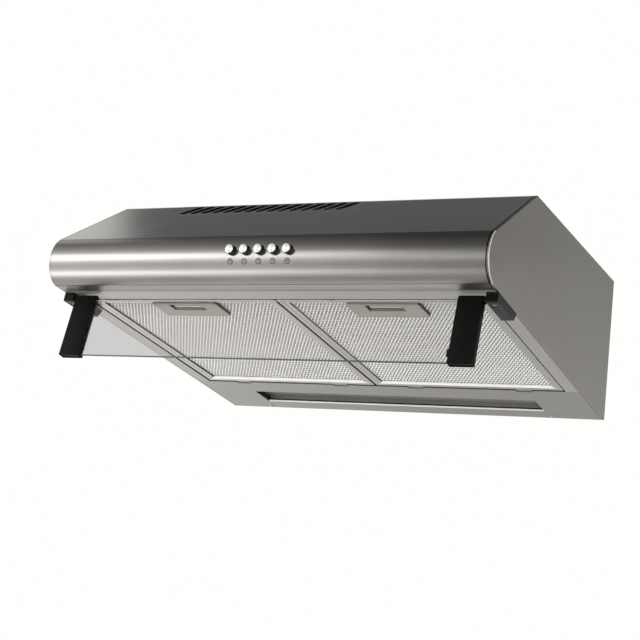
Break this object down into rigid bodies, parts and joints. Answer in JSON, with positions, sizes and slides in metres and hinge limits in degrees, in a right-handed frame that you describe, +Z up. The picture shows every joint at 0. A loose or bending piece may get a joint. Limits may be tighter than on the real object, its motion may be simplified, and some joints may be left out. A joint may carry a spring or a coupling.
{
  "type": "range hood",
  "caption": "Wall-mounted cooker hood with a rounded steel front, tilting glass visor, metal grease filters, push buttons and a blower with a round duct outlet.",
  "frame": {"origin": "on the wall plane, halfway between the two wall fixing holes", "axes": "+X to the right of someone facing the hood, +Y into the wall, +Z up"},
  "size_m": [0.6, 0.528, 0.2824],
  "materials": {
    "front_steel": "fine brushed, satin",
    "side_steel": "satin",
    "case_sheet": "satin grey coating",
    "tray_sheet": "satin silver-grey coating",
    "filter_aluminium": "matt rolled",
    "filter_mesh": "expanded foil, matt",
    "handle_plastic": "matt silver-grey",
    "latch_plastic": "matt light grey",
    "block_plastic": "matt dark grey",
    "arm_plastic": "semi-gloss black",
    "dark_plastic": "matt black",
    "holder_plastic": "matt off-white",
    "gasket_rubber": "matt black",
    "visor_glass": "clear, polished edges",
    "bulb_glass": "frosted",
    "light_cover": "frosted, unlit",
    "button_metal": "polished",
    "screw_steel": "bright zinc",
    "zinc_sheet": "galvanised",
    "motor_metal": "bare steel grey",
    "capacitor_can": "bright can"
  },
  "bodies": {
    "hood": {"front_fascia": "front_steel", "side_panel_left": "side_steel", "side_panel_right": "side_steel", "body_shell": "case_sheet", "underside_tray": "tray_sheet", "rear_strip": "tray_sheet", "light_cover": "light_cover", "light_housing": "zinc_sheet", "hinge_screws": "screw_steel", "strip_screws": "screw_steel", "collar_screws": "screw_steel", "switch_block": "dark_plastic", "outlet_collar": "dark_plastic", "fan_housing": "zinc_sheet", "fan_motor": "motor_metal", "terminal_box": "dark_plastic", "cable_gland": "dark_plastic", "motor_capacitor": "capacitor_can", "light_bulb_left": "bulb_glass", "bulb_holder_left": "holder_plastic", "hinge_block_left": "block_plastic", "hinge_cap_left": "arm_plastic", "light_bulb_right": "bulb_glass", "bulb_holder_right": "holder_plastic", "hinge_block_right": "block_plastic", "hinge_cap_right": "arm_plastic"},
    "visor": {"visor_glass": "visor_glass", "visor_arm_left": "arm_plastic", "visor_arm_right": "arm_plastic", "glass_gasket_left": "gasket_rubber", "glass_gasket_right": "gasket_rubber", "hinge_pin_left": "screw_steel", "hinge_pin_right": "screw_steel"},
    "blower_wheel": {"fan_wheel": "zinc_sheet", "fan_shaft": "screw_steel"},
    "front_flap": {"outlet_flap_front": "dark_plastic"},
    "back_flap": {"outlet_flap_back": "dark_plastic"},
    "filter_left": {"filter_frame_left": "filter_aluminium", "filter_mesh_left": "filter_mesh", "filter_handle_left": "handle_plastic"},
    "latch_left": {"filter_latch_left": "latch_plastic"},
    "filter_right": {"filter_frame_right": "filter_aluminium", "filter_mesh_right": "filter_mesh", "filter_handle_right": "handle_plastic"},
    "latch_right": {"filter_latch_right": "latch_plastic"},
    "button_1": {"push_button_1": "button_metal"},
    "button_2": {"push_button_2": "button_metal"},
    "button_3": {"push_button_3": "button_metal"},
    "button_4": {"push_button_4": "button_metal"},
    "button_5": {"push_button_5": "button_metal"}
  },
  "joints": [
    {"name": "visor_hinge", "type": "hinge", "parent": "hood", "child": "visor", "pos_m": [0, -0.47102, -0.10593], "axis": [1, 0, 0], "range_deg": [-23, 92]},
    {"name": "filter_left_tilt", "type": "hinge", "parent": "hood", "child": "filter_left", "pos_m": [0, -0.11604, -0.13487], "axis": [-1, 0, 0], "range_deg": [-30, 0]},
    {"name": "filter_right_tilt", "type": "hinge", "parent": "hood", "child": "filter_right", "pos_m": [0, -0.11604, -0.13487], "axis": [-1, 0, 0], "range_deg": [-30, 0]},
    {"name": "latch_left_slide", "type": "slide", "parent": "filter_left", "child": "latch_left", "axis": [0, 0.994, -0.1093], "range_m": [0, 0.005], "stiffness_N_per_m": 300, "springref_m": -0.005},
    {"name": "latch_right_slide", "type": "slide", "parent": "filter_right", "child": "latch_right", "axis": [0, 0.994, -0.1093], "range_m": [0, 0.005], "stiffness_N_per_m": 300, "springref_m": -0.005},
    {"name": "button_1_press", "type": "slide", "parent": "hood", "child": "button_1", "axis": [0, 1, 0], "range_m": [0, 0.004], "stiffness_N_per_m": 400, "springref_m": -0.004},
    {"name": "button_2_press", "type": "slide", "parent": "hood", "child": "button_2", "axis": [0, 1, 0], "range_m": [0, 0.004], "stiffness_N_per_m": 400, "springref_m": -0.004},
    {"name": "button_3_press", "type": "slide", "parent": "hood", "child": "button_3", "axis": [0, 1, 0], "range_m": [0, 0.004], "stiffness_N_per_m": 400, "springref_m": -0.004},
    {"name": "button_4_press", "type": "slide", "parent": "hood", "child": "button_4", "axis": [0, 1, 0], "range_m": [0, 0.004], "stiffness_N_per_m": 400, "springref_m": -0.004},
    {"name": "button_5_press", "type": "slide", "parent": "hood", "child": "button_5", "axis": [0, 1, 0], "range_m": [0, 0.004], "stiffness_N_per_m": 400, "springref_m": -0.004},
    {"name": "blower_spin", "type": "hinge", "parent": "hood", "child": "blower_wheel", "pos_m": [0, -0.215, -0.034], "axis": [1, 0, 0], "continuous": true},
    {"name": "front_flap_swing", "type": "hinge", "parent": "hood", "child": "front_flap", "pos_m": [0, -0.1724, 0.066], "axis": [-1, 0, 0], "range_deg": [0, 75]},
    {"name": "back_flap_swing", "type": "hinge", "parent": "hood", "child": "back_flap", "pos_m": [0, -0.1676, 0.066], "axis": [1, 0, 0], "range_deg": [0, 75]}
  ]
}
